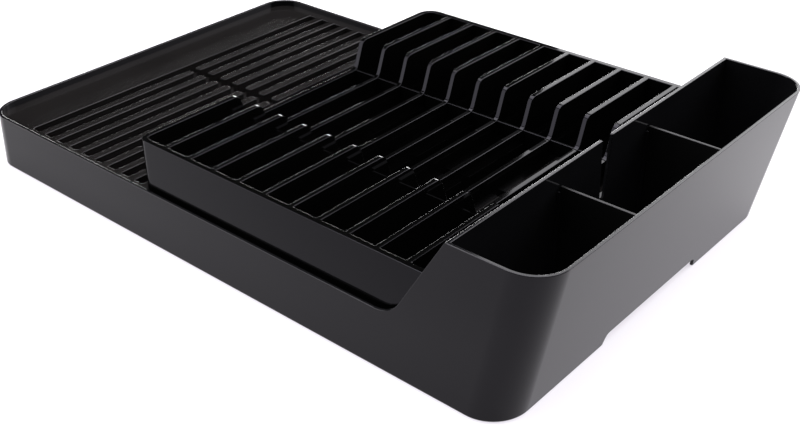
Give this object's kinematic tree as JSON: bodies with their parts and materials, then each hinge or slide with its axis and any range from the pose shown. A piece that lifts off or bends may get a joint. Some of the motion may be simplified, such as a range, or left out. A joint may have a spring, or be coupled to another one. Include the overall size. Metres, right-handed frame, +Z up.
{
  "type": "dish drying rack",
  "caption": "Long drip tray with a grooved drainboard, lift-out plate rack with open slots, cutlery caddy leaning out at one end and a swivel drain spout below.",
  "frame": {"origin": "on the counter, under the middle of the whole object's box", "axes": "+X along the tray to the caddy end, +Y from front to back, +Z up"},
  "size_m": [0.562, 0.35, 0.117],
  "materials": {
    "tray_plastic": "satin charcoal polypropylene, fine moulded texture",
    "rack_plastic": "glossy black",
    "divider_plastic": "satin black",
    "spout_plastic": "satin black",
    "foot_rubber": "matt black rubber"
  },
  "bodies": {
    "tray": {"drip_tray": "tray_plastic", "cutlery_caddy": "tray_plastic", "foot_front_left": "foot_rubber", "foot_back_left": "foot_rubber", "foot_front_right": "foot_rubber", "foot_back_right": "foot_rubber"},
    "plate_rack": {"rack_frame": "rack_plastic", "rack_cross_rails": "rack_plastic", "rack_divider_01": "rack_plastic", "rack_divider_02": "rack_plastic", "rack_divider_03": "rack_plastic", "rack_divider_04": "rack_plastic", "rack_divider_05": "rack_plastic", "rack_divider_06": "rack_plastic", "rack_divider_07": "rack_plastic", "rack_divider_08": "rack_plastic", "rack_divider_09": "rack_plastic", "rack_divider_10": "rack_plastic"},
    "front_divider": {"caddy_divider_front": "divider_plastic"},
    "back_divider": {"caddy_divider_back": "divider_plastic"},
    "spout": {"drain_spout": "spout_plastic"}
  },
  "joints": [
    {"name": "plate_rack_lift", "type": "slide", "parent": "tray", "child": "plate_rack", "axis": [0, 0, 1], "range_m": [0, 0.085]},
    {"name": "front_divider_lift", "type": "slide", "parent": "tray", "child": "front_divider", "axis": [0, 0, 1], "range_m": [0, 0.11]},
    {"name": "back_divider_lift", "type": "slide", "parent": "tray", "child": "back_divider", "axis": [0, 0, 1], "range_m": [0, 0.11]},
    {"name": "spout_swivel", "type": "hinge", "parent": "tray", "child": "spout", "pos_m": [0.24, 0, 0.0085], "axis": [0, 0, 1], "range_deg": [-180, 0]}
  ]
}
